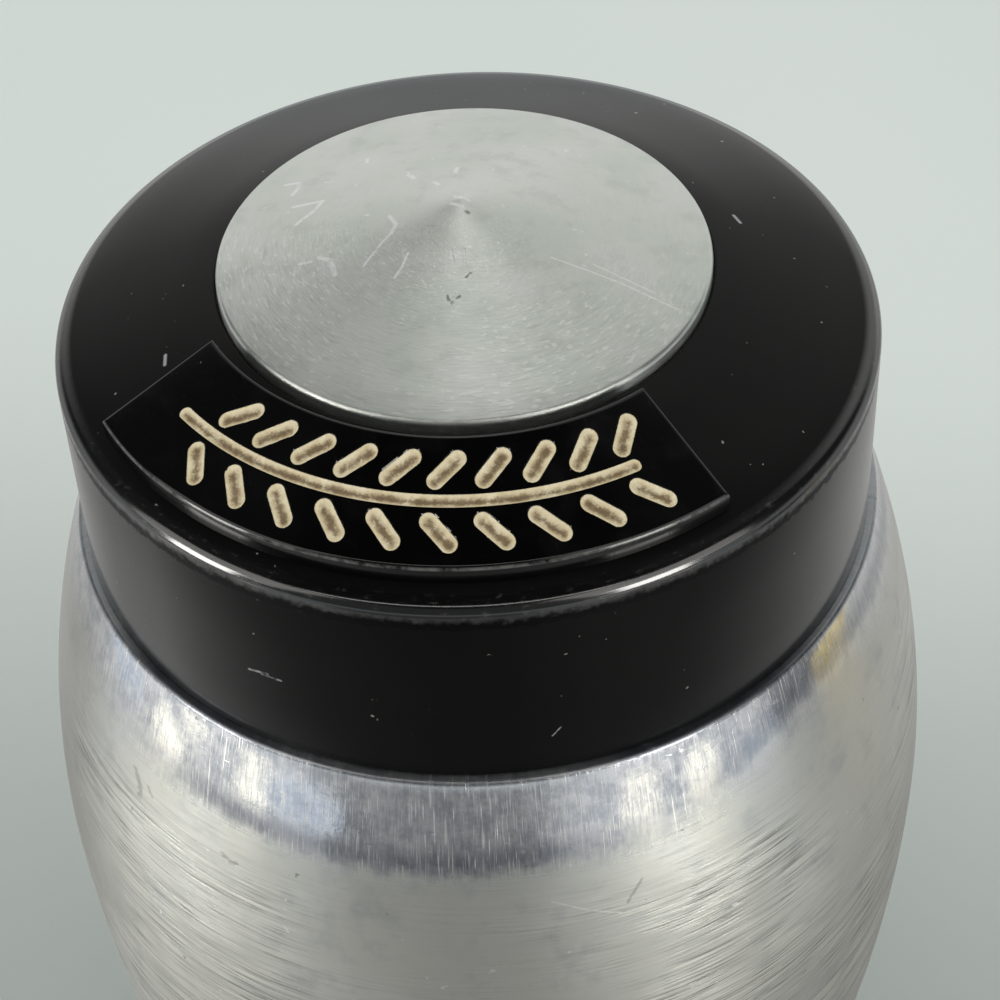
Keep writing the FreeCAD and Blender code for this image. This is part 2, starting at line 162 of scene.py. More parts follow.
class Finish:
    """The nodes of one material or of the world."""

    def __init__(self, owner):
        owner.use_nodes = True
        self.owner = owner
        self.tree = owner.node_tree
        self.tree.nodes.clear()

    def add(self, kind, settings=None, sockets=None, outlet=None):
        """Makes one node: its settings first, then the values or wires of its sockets."""
        node = self.tree.nodes.new(kind)
        for name, value in (settings or {}).items():
            if name == "stops":
                self.fill_ramp(node.color_ramp, value)
            else:
                setattr(node, name, value)
        for name, value in (sockets or {}).items():
            socket = self.pick(node.inputs, name)
            if isinstance(value, Wire):
                self.tree.links.new(value.socket, socket)
            else:
                socket.default_value = value
        if not node.outputs:
            return None
        return Wire(self, self.pick(node.outputs, outlet))

    @staticmethod
    def pick(sockets, name):
        if isinstance(name, int):
            return sockets[name]
        return next(s for s in sockets if s.enabled and name in (None, s.name))

    @staticmethod
    def fill_ramp(ramp, stops):
        while len(ramp.elements) < len(stops):
            ramp.elements.new(1.0)
        for element, (position, colour) in zip(ramp.elements, stops):
            element.position = position
            element.color = colour

    def math(self, operation, *values):
        return self.add("ShaderNodeMath", {"operation": operation}, dict(enumerate(values)))

    def mix(self, share, first, second):
        """A colour between two colours."""
        sockets = {"Factor": share, "A": first, "B": second}
        return self.add("ShaderNodeMix", {"data_type": "RGBA"}, sockets)

    def spot(self, x, y, z):
        return self.add("ShaderNodeCombineXYZ", None, {"X": x, "Y": y, "Z": z})

    def noise(self, where, scale=1.0, detail=2.0, roughness=0.5):
        sockets = {"Vector": where, "Scale": scale, "Detail": detail, "Roughness": roughness}
        return self.add("ShaderNodeTexNoise", None, sockets)

    def cells(self, where, scale=1.0):
        """The distance to the nearest of many scattered points."""
        return self.add("ShaderNodeTexVoronoi", None, {"Vector": where, "Scale": scale})

    def bump(self, height, depth_mm):
        sockets = {"Height": height, "Strength": 1.0, "Distance": depth_mm * MM}
        return self.add("ShaderNodeBump", None, sockets)

    def surface(self, **sockets):
        """The surface shader; an underscore in a name stands for a space."""
        named = {name.replace("_", " "): value for name, value in sockets.items()}
        shader = self.add("ShaderNodeBsdfPrincipled", None, named)
        self.add("ShaderNodeOutputMaterial", None, {"Surface": shader})
        return self.owner


class Place:
    """Where a point of the surface lies on its piece, in millimetres."""

    def __init__(self, finish):
        self.finish = finish
        here = finish.add("ShaderNodeTexCoord", outlet="Object")
        self.here = finish.add(
            "ShaderNodeVectorMath", {"operation": "SCALE"}, {"Vector": here, "Scale": 1 / MM}
        )
        parts = finish.add("ShaderNodeSeparateXYZ", None, {"Vector": self.here})
        self.x, self.y, self.z = (parts.outlet(axis) for axis in "XYZ")
        self.radius = (self.x * self.x + self.y * self.y) ** 0.5
        reach = self.radius.most(0.02)
        self.right = self.x / reach
        self.front = -(self.y / reach)

    def streaks(self, around, lift, detail):
        where = self.finish.spot(self.right * around, self.front * around, lift)
        return self.finish.noise(where, 1.0, detail)

    def spun(self, around, across, shift=0.0, detail=2.0):
        """Streaks that run round the axis: few changes around it, many across."""
        return self.streaks(around, (self.z - self.radius) * across + shift, detail)

    def upright(self, around, along, shift=0.0, detail=1.0):
        """Streaks that run up and down the wall."""
        return self.streaks(around, self.z * along + shift, detail)

    def mark(self, across, up, start, end, width):
        """1 on a thin straight mark between two points of a surface, 0 beside it."""
        run = (end[0] - start[0], end[1] - start[1])
        length = run[0] ** 2 + run[1] ** 2
        aside, above = across - start[0], up - start[1]
        share = ((aside * run[0] + above * run[1]) / length).most(0.0).least(1.0)
        aside = aside - share * run[0]
        above = above - share * run[1]
        return ((aside * aside + above * above) ** 0.5).rise(width, 0.25 * width)

    def marks(self, across, up, lines):
        """1 on any of several bent marks, each a width and the points it runs through."""
        found = None
        for width, *spots in lines:
            for start, end in zip(spots[:-1], spots[1:]):
                one = self.mark(across, up, start, end, width)
                found = one if found is None else found.most(one)
        return found


def new_finish(name):
    return Finish(bpy.data.materials.new(name))


# Meshes.


def outline(corners, steps=8):
    """A half outline of (radius, height) points; a third number rounds that corner off."""
    spots = np.array([corner[:2] for corner in corners], float)
    runs = np.hypot(*np.diff(spots, axis=0).T)
    along = np.concatenate([[0.0], np.cumsum(runs)])

    def at(distance):
        return np.array([np.interp(distance, along, spots[:, k]) for k in (0, 1)])

    path = []
    for i, corner in enumerate(corners):
        if len(corner) == 2:
            path.append((along[i], spots[i]))
            continue
        before, after = spots[i] - spots[i - 1], spots[i + 1] - spots[i]
        cosine = before @ after / np.linalg.norm(before) / np.linalg.norm(after)
        turn = math.acos(max(-1.0, min(1.0, cosine)))
        reach = corner[2] * math.tan(turn / 2)
        start, end = at(along[i] - reach), at(along[i] + reach)
        path = [entry for entry in path if entry[0] < along[i] - reach]
        weight = math.cos(turn / 2)
        for k in range(steps + 1):
            t = k / steps
            shares = np.array([(1 - t) ** 2, 2 * t * (1 - t) * weight, t ** 2])
            point = shares @ np.array([start, spots[i], end]) / shares.sum()
            path.append((along[i] + reach * (2 * t - 1), point))
    spaced = [path[0]]
    for entry in path[1:]:
        if entry[0] > spaced[-1][0] + 1e-6:
            spaced.append(entry)
    return np.array([point for _, point in spaced])


def in_scene(name, data):
    """A new object of the scene with this mesh, light or camera."""
    thing = bpy.data.objects.new(name, data)
    bpy.context.scene.collection.objects.link(thing)
    return thing


def new_mesh(name, points, faces, finish):
    """A mesh in one finish from points in millimetres."""
    mesh = bpy.data.meshes.new(name)
    mesh.from_pydata((np.asarray(points, float) * MM).tolist(), [], faces)
    mesh.update()
    mesh.materials.append(finish)
    return mesh


def new_piece(name, points, faces, body, finish, slot, sharp=32.0):
    """A mesh piece with smooth faces and crisp corners, riding on a body of the frame."""
    mesh = new_mesh(name, points, faces, finish)
    mesh.polygons.foreach_set("use_smooth", [True] * len(mesh.polygons))
    mesh.set_sharp_from_angle(angle=math.radians(sharp))
    piece = in_scene(name, mesh)
    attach(piece, body)
    return piece


def lathe(path, sides=256):
    """Points and faces of a closed turned shape; the outline climbs its outside."""
    turn = np.arange(sides) * 2 * math.pi / sides
    ring = np.stack([np.cos(turn), np.sin(turn)], axis=1)
    points = [[0.0, 0.0, path[0][1]]]
    for radius, height in path[1:-1]:
        points.extend(np.column_stack([radius * ring, np.full(sides, height)]).tolist())
    points.append([0.0, 0.0, path[-1][1]])
    rows = len(path) - 2
    faces = []
    for k in range(sides):
        n = (k + 1) % sides
        faces.append((0, 1 + n, 1 + k))
        for row in range(rows - 1):
            low, high = 1 + row * sides, 1 + (row + 1) * sides
            faces.append((low + k, low + n, high + n, high + k))
        last = 1 + (rows - 1) * sides
        faces.append((last + k, last + n, len(points) - 1))
    return points, faces


def helix_ridge(root, crest, start_height, steps=180):
    """A thread ridge that climbs to the right and fades out at both ends."""
    points, faces = [], []
    for step in range(steps + 1):
        share = step / steps
        turn = share * THREAD_TURNS * 2 * math.pi
        fade = min(1.0, share * THREAD_TURNS * 10, (1 - share) * THREAD_TURNS * 10)
        fade = 0.04 + 0.96 * fade * fade * (3 - 2 * fade)
        middle = start_height + PITCH * share * THREAD_TURNS
        tip = root + (crest - root) * fade
        sunk = root - RIDGE_SUNK * math.copysign(1, crest - root)
        wide, narrow = RIDGE_ROOT_HALF * fade, RIDGE_CREST_HALF * fade
        for radius, rise in (
            (sunk, -RIDGE_ROOT_HALF), (root, -wide), (tip, -narrow),
            (tip, narrow), (root, wide), (sunk, RIDGE_ROOT_HALF),
        ):
            points.append((radius * math.cos(turn), radius * math.sin(turn), middle + rise))
    for step in range(steps):
        low, high = 6 * step, 6 * step + 6
        for k in range(6):
            n = (k + 1) % 6
            faces.append((low + k, low + n, high + n, high + k))
    faces.append(tuple(range(5, -1, -1)))
    faces.append(tuple(range(6 * steps, 6 * steps + 6)))
    if crest > root:
        faces = [face[::-1] for face in faces]
    return points, faces


def barrel(low, high, inside=0.0, steps=60):
    """Points of the jar's side from one height to another."""
    path = []
    for height in np.linspace(low, high, steps):
        arc = (FLANK_ARC if height < BELLY_HEIGHT else SHOULDER_ARC) - inside
        middle = BELLY_RADIUS - inside - arc
        path.append((middle + math.sqrt(arc ** 2 - (height - BELLY_HEIGHT) ** 2), height))
    return path


def jar_outline():
    outside = barrel(0.0, SHOULDER_HEIGHT, steps=90)
    inside = barrel(WALL, SHOULDER_HEIGHT - WALL, WALL, steps=70)[::-1]
    mouth, floor = NECK_RADIUS - WALL, RECESS_DEPTH + WALL
    corners = [(radius, RECESS_DEPTH) for radius in (0, 8, 14)]
    corners += [(RECESS_RADIUS, RECESS_DEPTH, 0.5), (FOOT_RADIUS, 0, 0.5)]
    corners += [(*outside[0], HEEL_ROUND), *outside[1:-1], (*outside[-1], SHOULDER_ROUND)]
    corners += [(NECK_RADIUS, SHOULDER_HEIGHT, 0.6), (NECK_RADIUS, MOUTH_HEIGHT, MOUTH_ROUND)]
    corners += [(mouth, MOUTH_HEIGHT, MOUTH_ROUND), (mouth, SHOULDER_HEIGHT - WALL, 0.8)]
    corners += [*inside[:-1], (*inside[-1], INNER_HEEL_ROUND)]
    corners += [(FOOT_RADIUS, WALL, 0.4), (RECESS_RADIUS, floor, 0.4)]
    corners += [(radius, floor) for radius in (12, 6, 0)]
    return outline(corners)


def cap_outline():
    return outline([
        (0, 97.867), (15.1, 93.74), (15.1, SEAT_HEIGHT), (SEAT_RADIUS, SEAT_HEIGHT),
        (SEAT_RADIUS, SEAT_EDGE, 0.15), (19, 92.795), (23, 91.432),
        (RIM_RADIUS, RIM_HEIGHT, RIM_ROUND), (27.32, 84), (27.42, 79),
        (SKIRT_RADIUS, SKIRT_BOTTOM, 0.15), (CAP_BORE, SKIRT_BOTTOM, 0.3),
        (CAP_BORE, ROOF_HEIGHT, 0.4), (18, ROOF_HEIGHT), (0, ROOF_HEIGHT),
    ])[::-1]


def disc_outline():
    upper = [(r, DISC_TOP - DISC_SLOPE * r) for r in (0.12, 0.35, 0.8, 1.6, 3, 5, 8, 11, 14)]
    return outline([
        (0, DISC_TOP), *upper, (DISC_RADIUS, DISC_EDGE, 0.4), (DISC_RADIUS, SEAT_HEIGHT),
        (15.2, SEAT_HEIGHT), (15.2, 93.81), (8, 95.78), (0, 97.967),
    ])[::-1]


# The sprig: straight leaves on both sides of one bowed stem.


def across_plate(radius, inner, outer):
    """A height between those at the plate's inner and outer edges."""
    share = (radius - PLATE_INNER) / (PLATE_OUTER - PLATE_INNER)
    return inner + (outer - inner) * share


def plate_top(radius):
    return across_plate(radius, PLATE_TOP_INNER, PLATE_TOP_OUTER)


def plate_seat(radius):
    return across_plate(radius, PLATE_SEAT_INNER, PLATE_SEAT_OUTER)


def on_plate(distance, turn):
    return np.array([distance * np.sin(turn), -distance * np.cos(turn)])


def sprig_strokes():
    """Each stroke as its middle line's points and its half width."""
    bow = np.linspace(-STEM_HALF_TURN, STEM_HALF_TURN, 121)
    strokes = [(on_plate(STEM_RADIUS, bow).T, STEM_HALF_WIDTH)]
    for pair in range(LEAF_PAIRS):
        azimuth = 2 * STEM_HALF_TURN * ((pair + 0.5) / LEAF_PAIRS - 0.5)
        for side in (1, -1):
            distance = STEM_RADIUS + side * LEAF_REACH * math.sin(LEAF_SLANT)
            turn = azimuth + LEAF_REACH * math.cos(LEAF_SLANT) / distance
            heading = turn - side * LEAF_SLANT
            middle = on_plate(distance, turn)
            bar = LEAF_HALF_BAR * np.array([math.cos(heading), math.sin(heading)])
            strokes.append((np.array([middle - bar, middle + bar]), LEAF_HALF_WIDTH))
    return strokes


def from_line(spots, line):
    """The distance of many points from a line of straight runs, and the nearest points on it."""
    best = np.full(len(spots), np.inf)
    nearest = np.zeros_like(spots)
    for start, end in zip(line[:-1], line[1:]):
        run = end - start
        share = np.clip(((spots - start) @ run) / (run @ run), 0, 1)
        foot = start + share[:, None] * run
        gap = np.linalg.norm(spots - foot, axis=1)
        closer = gap < best
        best[closer] = gap[closer]
        nearest[closer] = foot[closer]
    return best, nearest


def edge_steps(length, pitch, rounding):
    """Distances along a strip that crowd together where its two edges are rounded."""
    ease = [rounding * (1 - math.cos(math.pi / 2 * k / 5)) for k in range(6)]
    count = max(2, round((length - 2 * rounding) / pitch))
    middle = np.linspace(rounding, length - rounding, count)
    return np.array(ease[:-1] + middle.tolist() + [length - e for e in ease[-2::-1]])


def plate_shape(strokes, pitch=0.085):
    """The raised plate: a fine grid whose points slide onto each groove's outline."""
    rows = PLATE_INNER + edge_steps(PLATE_OUTER - PLATE_INNER, pitch, PLATE_EDGE)
    span = 2 * PLATE_HALF_TURN * STEM_RADIUS
    columns = edge_steps(span, pitch, PLATE_EDGE) / STEM_RADIUS - PLATE_HALF_TURN
    distance, turn = np.meshgrid(rows, columns, indexing="ij")
    distance, turn = distance.ravel(), turn.ravel()
    plain = on_plate(distance, turn).T
    spots = plain.copy()
    depth = np.zeros(len(spots))
    leaf_near, stem_near, snap = 2.6, 1.2, 0.52
    for line, half in strokes:
        near = np.flatnonzero(np.linalg.norm(spots - line.mean(axis=0), axis=1) < leaf_near)
        if len(line) > 2:
            near = np.flatnonzero(np.abs(distance - STEM_RADIUS) < stem_near)
        gap, foot = from_line(spots[near], line)
        edge = np.abs(gap - half) < snap * pitch * distance[near] / STEM_RADIUS
        away = (spots[near] - foot) / np.maximum(gap, 1e-6)[:, None]
        spots[near[edge]] = (foot + away * half)[edge]
        inside = (gap < half) & ~edge
        fall = np.sqrt(np.clip(1 - (gap / half) ** 2, 0, 1))
        depth[near[inside]] = GROOVE_DEPTH * fall[inside]
    # Points that slid onto each other go back to their places in the grid.
    for shift in (0.0, 0.005):
        doubled = np.ones(len(spots), bool)
        doubled[np.unique((spots + shift).round(2), axis=0, return_index=True)[1]] = False
        spots[doubled] = plain[doubled]
    distance = np.linalg.norm(spots, axis=1)
    from_ends = (PLATE_HALF_TURN - np.abs(turn)) * STEM_RADIUS
    from_sides = np.minimum(distance - PLATE_INNER, PLATE_OUTER - distance)
    margin = np.clip(np.minimum(from_ends, from_sides), 0, PLATE_EDGE)
    rounding = PLATE_EDGE - np.sqrt(PLATE_EDGE ** 2 - (PLATE_EDGE - margin) ** 2)
    height = plate_top(distance) - depth - rounding
    points = np.column_stack([spots, height]).tolist()
    wide, deep = len(columns), len(rows)

    def grid(row, column):
        return row * wide + column

    faces = []
    for row in range(deep - 1):
        for column in range(wide - 1):
            faces.append((grid(row, column), grid(row + 1, column),
                          grid(row + 1, column + 1), grid(row, column + 1)))
    border = [grid(0, c) for c in range(wide)] + [grid(r, wide - 1) for r in range(1, deep)]
    border += [grid(deep - 1, c) for c in range(wide - 2, -1, -1)]
    border += [grid(r, 0) for r in range(deep - 2, 0, -1)]
    under = {}
    for index in border:
        under[index] = len(points)
        x, y, _ = points[index]
        points.append([x, y, plate_seat(math.hypot(x, y))])
    for first, second in zip(border, border[1:] + border[:1]):
        faces.append((first, second, under[second], under[first]))
    for column in range(1, wide - 2):
        faces.append((under[grid(0, column)], under[grid(0, column + 1)],
                      under[grid(deep - 1, column + 1)], under[grid(deep - 1, column)]))
    left = [under[grid(r, 0)] for r in range(deep)]
    right = [under[grid(r, wide - 1)] for r in range(deep)]
    faces.append((*left[::-1], under[grid(0, 1)], under[grid(deep - 1, 1)]))
    faces.append((*right, under[grid(deep - 1, wide - 2)], under[grid(0, wide - 2)]))
    return points, faces


def stroke_ring(line, half):
    """A closed loop of points at one distance from a stroke's middle line."""
    along = np.gradient(line, axis=0)
    along /= np.linalg.norm(along, axis=1)[:, None]
    left = np.column_stack([-along[:, 1], along[:, 0]])

    def round_end(tip, ahead, aside):
        swings = [math.pi * (k / STROKE_END_STEPS - 0.5) for k in range(1, STROKE_END_STEPS)]
        return [tip + half * (math.cos(a) * ahead + math.sin(a) * aside) for a in swings]

    loop = [*(line - half * left), *round_end(line[-1], along[-1], left[-1])]
    loop += [*(line + half * left)[::-1], *round_end(line[0], -along[0], -left[0])]
    return np.array(loop)


def paint_shape(strokes, rings=7):
    """The paint left in each groove: sunk in the middle, thin at its outline."""
    points, faces, edge = [], [], []
    for line, half in strokes:
        loops = []
        for surface in ("top", "floor"):
            for k in range(rings):
                share = PAINT_REACH * (1 - k / (rings - 0.6))
                loop = stroke_ring(line, half * share)
                sink = 0.05 + 0.17 * (1 - (share / PAINT_REACH) ** 2)
                if surface == "floor":
                    if k == 0:
                        continue
                    sink = max(sink + 0.03, GROOVE_DEPTH * math.sqrt(1 - share ** 2) - 0.01)
                height = plate_top(np.linalg.norm(loop, axis=1)) - sink
                loops.append(list(range(len(points), len(points) + len(loop))))
                points.extend(np.column_stack([loop, height]).tolist())
                edge.extend([share / PAINT_REACH] * len(loop))
        size = len(loops[0])
        top, floor = loops[:rings], [loops[0], *loops[rings:]]
        for layer, forward in ((top, True), (floor, False)):
            for outer, inner in zip(layer[:-1], layer[1:]):
                for k in range(size):
                    n = (k + 1) % size
                    quad = (outer[k], outer[n], inner[n], inner[k])
                    faces.append(quad if forward else quad[::-1])
            faces.extend(strip_fill(layer[-1], len(line), forward))
    return points, faces, edge


def strip_fill(loop, count, forward):
    """Closes the narrow middle of a stroke with a strip from side to side."""
    turn = count + STROKE_END_STEPS - 1
    first, far = loop[:count], loop[count:turn]
    second, near = loop[turn:turn + count][::-1], loop[turn + count:]
    faces = [(first[k], first[k + 1], second[k + 1], second[k]) for k in range(count - 1)]
    faces.append((second[0], *near, first[0]))
    faces.append((first[-1], *far, second[-1]))
    return faces if forward else [face[::-1] for face in faces]


# Finishes.

# Single marks on the front of the jar, by their place across it and their height.
JAR_DENTS = (
    (0.3, (-11.4, 65.35), (-10.9, 65.1), (-10.35, 65.15)),
    (0.34, (-18.7, 67.0), (-18.35, 66.0), (-18.5, 65.1)),
    (0.2, (-17.6, 66.6), (-17.3, 66.0)), (0.16, (16.1, 65.95), (15.7, 65.2), (15.3, 64.4)),
)
JAR_SCRATCHES = (
    (0.16, (-3.5, 73.6), (-3.3, 72.75)), (0.1, (10.7, 65.85), (13.0, 64.6), (15.0, 63.7)),
    (0.09, (-24.3, 73.6), (-25.0, 72.2)), (0.1, (6.1, 73.0), (6.0, 70.4)),
    (0.1, (7.2, 73.2), (7.15, 71.0)), (0.09, (4.3, 72.6), (4.35, 70.9)),
)


def spun_aluminium():
    """The jar: satin spun metal with a polished, scratched band under the cap."""
    f = new_finish("spun_aluminium")
    at = Place(f)
    cloudy = f.noise(at.here, 0.085, 3.0)
    smudge = f.noise(at.here, 0.3, 4.0, 0.6)
    grit = f.noise(at.here, 2.4, 3.0, 0.6)
    scrape = at.upright(110.0, 0.55, 7.0, detail=3.0)
    mottle = f.noise(at.here, 0.8, 4.0, 0.65) * 0.65 + scrape * 0.35
    brush = at.spun(7.0, 8.0, detail=2.0)
    lines = at.spun(4.5, 4.0, 60.0)
    cuts = at.spun(6.0, 7.5, 90.0, detail=1.0).rise(0.62, 0.7) * smudge.rise(0.38, 0.6)
    edge = (68.3 + (1.0 - at.front) * 8.8).least(72.4) + (mottle - 0.5) * 1.4
    above = at.z - edge
    lip = at.z.rise(74.75, 75.0)
    # Two stretches of the lip, left and right of the front, that get the most painted shade.
    aside = abs(at.right + 0.47).rise(0.28, 0.12).most(abs(at.right - 0.67).rise(0.28, 0.12))
    soft = 2.6 - at.front.rise(0.82, 0.97) * 1.6
    band = (above / soft).rise(-1.1, 0.8) * at.z.rise(75.6, 75.2)
    # A painted dark reflection along the band's lower edge, at the front and to the right.
    foot = above.rise(-0.8, 0.3) * above.rise(2.4, 0.7)
    foot = foot * (at.front.rise(0.84, 0.95) + at.right.rise(0.6, 0.75)).least(1.0)
    calm = abs(at.right - 0.12).rise(0.4, 0.22) * at.front.rise(0.0, 0.3)
    flanks = abs(at.right).rise(0.74, 0.9) * at.front.rise(0.0, 0.3)
    calm = calm.most(flanks * at.z.rise(48.0, 56.0))
    # Brushed patches below the band, quieter at the front's middle and at the flanks; there the
    # streaks also carry painted glints.
    worked_and_glint_zone = cloudy.rise(0.36, 0.52) * at.z.rise(68.0, 62.5) * (1.0 - calm * 0.85)
    dense = f.noise(at.here, 0.2, 2.0).rise(0.4, 0.62)
    upright = at.upright(230.0, 0.3).rise(0.62, 0.71) * dense
    hair = at.upright(420.0, 0.5, 30.0).rise(0.58, 0.74)
    cross = at.spun(26.0, 2.0, 20.0).rise(0.63, 0.7) * smudge.rise(0.42, 0.6)
    seen = at.front.rise(0.0, 0.2)
    dents = at.marks(at.x, at.z, JAR_DENTS) * seen * grit.rise(0.36, 0.5)
    scratches = at.marks(at.x, at.z, JAR_SCRATCHES) * seen * (0.3 + grit.rise(0.35, 0.6) * 0.7)
    pits = f.noise(at.here, 0.95, 3.0).rise(0.735, 0.77).most(dents * 0.7)
    nicks = f.noise(at.here, 1.1, 2.0, 0.4).rise(0.745, 0.775) * (1.0 - band)
    nicks = nicks.most(scratches)
    streak = (brush - 0.5) * 2.4 + (lines - 0.5) * 2.0
    streak = streak * (0.06 + worked_and_glint_zone * (0.78 + at.right.rise(0.15, 0.4) * 0.3)) * (1.0 - band)
    colour = f.mix(cloudy.rise(0.3, 0.7), tone(219, 220, 212), tone(230, 231, 225))
    colour = f.mix(smudge.rise(0.5, 0.72) * 0.34, colour, tone(172, 176, 180))
    colour = f.mix((-streak).most(0.0).least(0.8), colour, tone(96, 92, 78))
    # Painted glints: the bright side of the streaks turns near white, most in the worked patches
    # and on the right.
    colour = f.mix(streak.most(0.0).least(0.8), colour, tone(255, 254, 240))
    colour = f.mix(cuts * (0.04 + worked_and_glint_zone * 0.66), colour, tone(88, 84, 70))
    shine = f.mix(mottle.rise(0.38, 0.6), tone(214, 218, 224), tone(249, 250, 251))
    # Painted shade on the lip just under the skirt, darkest on those two stretches.
    shine = f.mix(lip * 0.7, shine, tone(128, 132, 137))
    shine = f.mix(lip * aside * 0.8, shine, tone(84, 88, 94))
    # Painted dark reflection at the band's foot.
    shine = f.mix(foot * 0.5, shine, tone(112, 120, 134))
    shine = f.mix((upright + hair * 0.45).least(0.8) * (1.0 - lip), shine, tone(252, 251, 246))
    colour = f.mix(band, colour, shine)
    colour = f.mix(pits * 0.5, colour, tone(96, 94, 88))
    colour = f.mix(nicks * 0.7, colour, tone(253, 253, 252))
    rough = 0.31 + (brush - 0.5) * 0.14 + (smudge - 0.5) * 0.12 + worked_and_glint_zone * 0.02
    polished = 0.1 + (mottle - 0.5) * 0.2 + upright * 0.2 + hair * 0.08 + cross * 0.12
    rough = rough * (1.0 - band) + band * (polished + lip * 0.22)
    relief = brush * (0.35 + worked_and_glint_zone * 1.5) + lines * (0.3 + worked_and_glint_zone * 0.9) - pits * 0.7
    relief = relief - cuts * worked_and_glint_zone * 0.8
    rubbed = mottle * 1.6 + upright * 0.45 + hair * 0.3 + cross * 0.4
    relief = relief * (1.0 - band) + band * rubbed
    return f.surface(
        Base_Color=colour, Metallic=1.0, Roughness=rough.most(0.07), Anisotropic=0.6,
        Anisotropic_Rotation=0.25, Normal=f.bump(relief, 0.011),
    )


# White handling scratches on the disc and dull dents beside its middle, seen from above.
DISC_SCRATCHES = (
    (0.22, (-13.17, 4.4), (-12.2, 4.5), (-12.0, 3.9), (-12.2, 3.0)),
    (0.22, (-11.7, 1.5), (-9.75, 1.8), (-10.1, 0.7), (-11.0, -0.6)),
    (0.2, (-4.5, -0.9), (-3.85, -1.7), (-4.0, -2.5)),
    (0.13, (-4.0, -2.5), (-4.55, -3.5), (-5.2, -5.1)),
    (0.2, (-9.6, -4.5), (-8.9, -4.4)), (0.24, (-8.4, -4.1), (-7.5, -4.45), (-6.95, -5.7)),
    (0.12, (-2.5, -4.2), (-2.65, -5.3), (-2.95, -6.1)),
    (0.11, (6.26, -2.6), (8.6, -2.75), (11.0, -3.0), (14.5, -3.7)),
    (0.09, (8.9, -2.1), (12.9, -2.9)),
    (0.26, (-1.37, 4.91), (-1.3, 4.2)), (0.24, (-4.4, 4.0), (-3.95, 3.5)),
    (0.22, (-2.35, 2.7), (-2.0, 2.3)), (0.2, (-8.01, 6.9), (-7.9, 6.4)),
    (0.26, (-0.4, 0.35), (0.45, 0.1)), (0.2, (-0.5, -0.35), (0.2, -0.5)),
    (0.1, (0.2, -3.9), (0.5, -4.7)), (0.1, (1.0, -3.7), (1.2, -4.5)),
    (0.1, (1.9, -4.1), (2.1, -4.8)),
)
DISC_DENTS = (
    (0.13, (0.5, -6.9), (0.75, -7.5), (1.05, -7.3), (1.0, -7.7), (1.4, -7.1)),
    (0.11, (1.5, -5.7), (1.75, -5.3)), (0.2, (0.2, -0.7), (0.7, -0.95)),
)


def turned_aluminium():
    """The disc: fine rings turned round the middle, with handling scratches."""
    f = new_finish("turned_aluminium")
    at = Place(f)
    fine = at.spun(12.0, 7.0, detail=3.0)
    broad = at.spun(6.0, 1.3, 30.0)
    dashes = at.spun(20.0, 3.2, 80.0).rise(0.55, 0.68)
    cloudy = f.noise(at.here, 0.14, 3.0)
    smudge = f.noise(at.here, 0.5, 4.0, 0.6)
    grit = f.noise(at.here, 2.2, 3.0, 0.6)
    rubbed = f.noise(at.here, 0.12, 2.0).rise(0.36, 0.54) * (-at.y).rise(-2.0, 5.0)
    specks = f.noise(at.here, 1.3, 2.0).rise(0.71, 0.745)
    white = at.marks(at.x, at.y, DISC_SCRATCHES) * grit.rise(0.25, 0.5)
    dark = at.marks(at.x, at.y, DISC_DENTS) * grit.rise(0.42, 0.6)
    streak = ((fine - 0.5) * 1.8 + (broad - 0.5) * 0.7) * (0.11 + rubbed * 0.3)
    colour = f.mix(cloudy.rise(0.35, 0.65), tone(219, 225, 218), tone(229, 230, 226))
    colour = f.mix(smudge.rise(0.5, 0.72) * 0.26, colour, tone(186, 190, 186))
    colour = f.mix((-streak).most(0.0), colour, tone(110, 112, 108))
    colour = f.mix(streak.most(0.0) + dashes * rubbed * 0.5, colour, tone(254, 254, 252))
    colour = f.mix((white * 0.85 + specks * 0.5).least(1.0), colour, tone(255, 255, 255))
    colour = f.mix(dark * 0.7, colour, tone(96, 98, 94))
    rough = 0.36 + (fine - 0.5) * 0.12 + (smudge - 0.5) * 0.12 + white * 0.14
    relief = fine + broad * 0.4 + dashes * rubbed * 0.5 - white * 1.2 - dark * 1.2
    return f.surface(
        Base_Color=colour, Metallic=1.0, Roughness=rough, Anisotropic=0.45,
        Anisotropic_Rotation=0.25, Normal=f.bump(relief, 0.006),
    )


# Nicks in the cap's ring, seen from above, and cuts in the front of its skirt.
CAP_NICKS = ((0.18, (16.5, 8.6), (17.0, 8.0)), (0.16, (-17.2, -10.5), (-17.0, -11.3)))
CAP_CUTS = (
    (0.14, (-8.5, 81.5), (-7.2, 81.75)), (0.12, (-7.6, 81.5), (-6.3, 81.55)),
    (0.07, (10.3, 78.3), (10.8, 79.0)),
)


